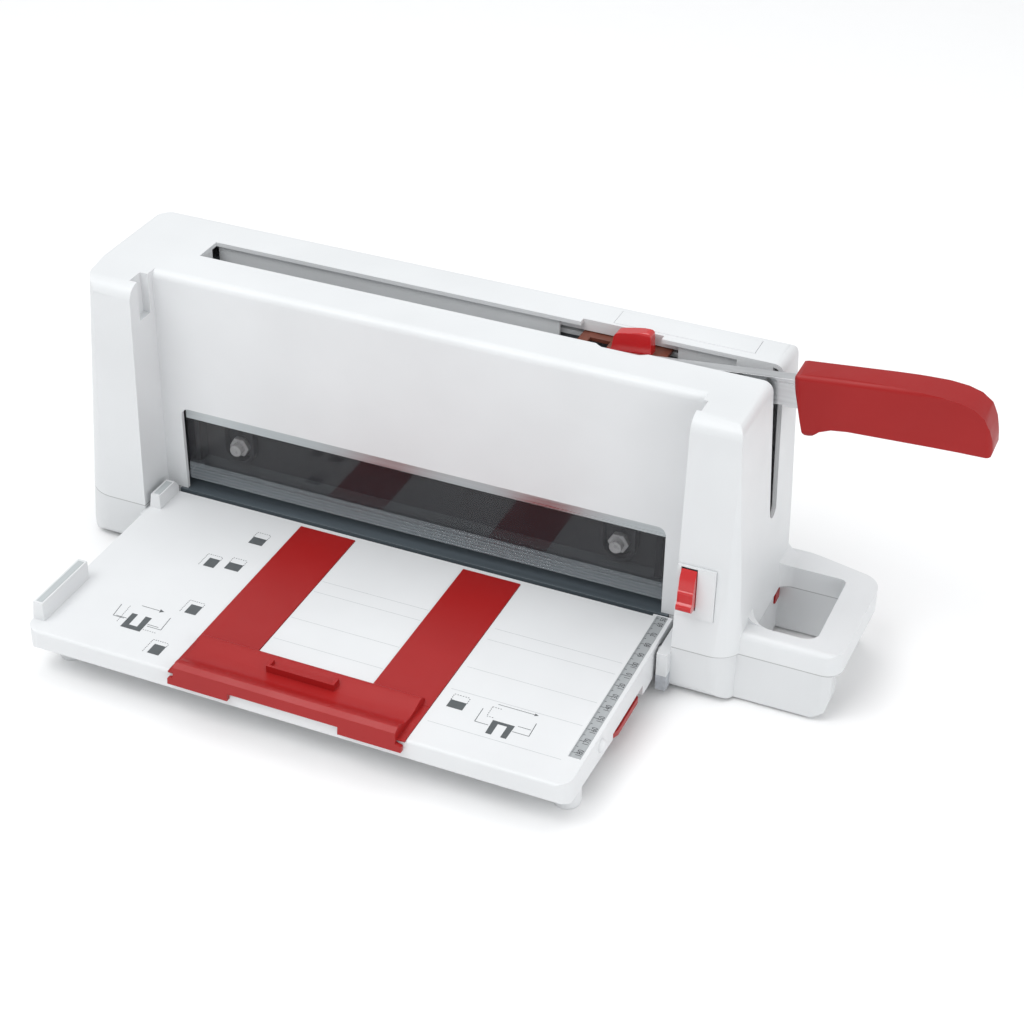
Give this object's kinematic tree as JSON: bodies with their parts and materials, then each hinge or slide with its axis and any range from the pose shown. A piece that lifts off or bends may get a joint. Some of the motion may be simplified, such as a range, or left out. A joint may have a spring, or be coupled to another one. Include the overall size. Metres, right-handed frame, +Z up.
{
  "type": "stack paper cutter",
  "caption": "Desktop guillotine for paper stacks: side lever, slanted blade carriage, smoked clamp, fold-up paper table with ruler and sliding red gauge.",
  "frame": {"origin": "on the ground plane, under the middle of the cut line, at the middle rubber foot", "axes": "+X along the cut towards the handle, +Y from the paper table to the rear, +Z up"},
  "size_m": [0.5333, 0.238, 0.1911],
  "materials": {
    "white_shell": "fine satin moulded plastic",
    "table_white": "fine satin moulded plastic",
    "red_plastic": "satin red moulded plastic",
    "red_grip": "soft-touch red grip",
    "brown_slide": "dark red-brown slide",
    "frame_steel": "grey powder coat",
    "bright_steel": "brushed",
    "blade_steel": "ground",
    "screw_steel": "bright zinc",
    "band_metal": "brushed along its length",
    "bed_dark": "dark satin coat",
    "dark_clamp": "dark satin coat",
    "smoke_plate": "smoked, glossy",
    "clear_plastic": "clear, glossy, ribbed",
    "ruler_metal": "satin with black marks",
    "grey_insert": "satin grey",
    "grey_bracket": "grey",
    "rubber": "matte",
    "board_green": "circuit board with clear lamps",
    "battery_skin": "printed sleeve",
    "spring_wire": "spring wire",
    "bronze_bush": "sintered bronze",
    "black_box": "matte"
  },
  "bodies": {
    "cutter_body": {"base_pan": "white_shell", "front_shell": "white_shell", "rear_shell": "white_shell", "left_end": "white_shell", "right_end": "white_shell", "carry_loop": "white_shell", "slot_walls": "white_shell", "rear_cover": "white_shell", "top_hatch": "white_shell", "bed_plate": "bed_dark", "stick_channel": "bright_steel", "frame_rear": "frame_steel", "frame_front": "frame_steel", "frame_spacers": "bright_steel", "frame_screws": "screw_steel", "lever_pivot": "bright_steel", "guide_pins": "bright_steel", "guide_clips": "bright_steel", "clamp_springs": "spring_wire", "lock_rail": "white_shell", "switch_plate": "white_shell", "led_board": "board_green", "battery_box": "black_box", "batteries": "battery_skin", "battery_cover": "white_shell", "case_screws": "screw_steel", "rubber_feet": "rubber", "hinge_brackets": "grey_bracket", "hinge_pins": "bright_steel", "rocker_pin": "bright_steel"},
    "lever": {"lever_arm": "bright_steel", "lever_bush": "bronze_bush", "handle_grip": "red_grip", "handle_rivets": "bright_steel", "roller_pin": "bright_steel", "lock_lug": "bright_steel"},
    "drive_roller": {"drive_roller": "bright_steel"},
    "blade_carriage": {"blade_holder": "frame_steel", "blade": "blade_steel", "blade_screws": "screw_steel"},
    "clamp": {"clamp_bar": "dark_clamp", "clamp_band": "band_metal", "clamp_shield": "smoke_plate", "clamp_foot": "clear_plastic", "clamp_bolts": "screw_steel", "clamp_nuts": "screw_steel"},
    "lock": {"lock_slider": "red_plastic"},
    "switch": {"rocker_switch": "red_plastic"},
    "stick": {"cutting_stick": "red_plastic"},
    "table": {"table_top": "table_white", "table_bottom": "table_white", "table_hinge_blocks": "bright_steel", "table_legs": "table_white", "snap_bosses": "table_white", "ruler_strip": "ruler_metal", "fence_inserts": "grey_insert", "table_screws": "screw_steel", "gauge_lock_pin": "bright_steel"},
    "gauge": {"paper_gauge": "red_plastic"},
    "gauge_lock": {"gauge_lock_lever": "red_plastic"}
  },
  "joints": [
    {"name": "lever_hinge", "type": "hinge", "parent": "cutter_body", "child": "lever", "pos_m": [-0.155, -0.012, 0.138], "axis": [0, -1, 0], "range_deg": [-11, 45]},
    {"name": "roller_spin", "type": "hinge", "parent": "lever", "child": "drive_roller", "pos_m": [-0.12714, -0.003, 0.14083], "axis": [0, 1, 0], "continuous": true},
    {"name": "blade_slide", "type": "slide", "parent": "cutter_body", "child": "blade_carriage", "axis": [0.5, 0, 0.866], "range_m": [-0.00534, 0.02183]},
    {"name": "clamp_slide", "type": "slide", "parent": "cutter_body", "child": "clamp", "axis": [0, 0, 1], "range_m": [-0.00331, 0.01351], "deforming": ["clamp_springs"]},
    {"name": "lock_slide", "type": "slide", "parent": "cutter_body", "child": "lock", "axis": [-1, 0, 0], "range_m": [0, 0.012]},
    {"name": "switch_hinge", "type": "hinge", "parent": "cutter_body", "child": "switch", "pos_m": [0.177, -0.073, 0.074], "axis": [1, 0, 0], "range_deg": [0, 16]},
    {"name": "stick_slide", "type": "slide", "parent": "cutter_body", "child": "stick", "axis": [1, 0, 0], "range_m": [0, 0.12]},
    {"name": "table_fold", "type": "hinge", "parent": "cutter_body", "child": "table", "pos_m": [0, -0.073, 0.025], "axis": [-1, 0, 0], "range_deg": [0, 90]},
    {"name": "gauge_slide", "type": "slide", "parent": "table", "child": "gauge", "axis": [0, -1, 0], "range_m": [0, 0.05]},
    {"name": "gauge_lock_hinge", "type": "hinge", "parent": "table", "child": "gauge_lock", "pos_m": [0.155, -0.102, 0.014], "axis": [0, 0, 1], "range_deg": [0, 20]}
  ],
  "couplings": [
    {"joint": "blade_slide", "follows": "lever_hinge", "m_per_rad": 0.027787},
    {"joint": "clamp_slide", "follows": "lever_hinge", "m_per_rad": 0.017189}
  ]
}
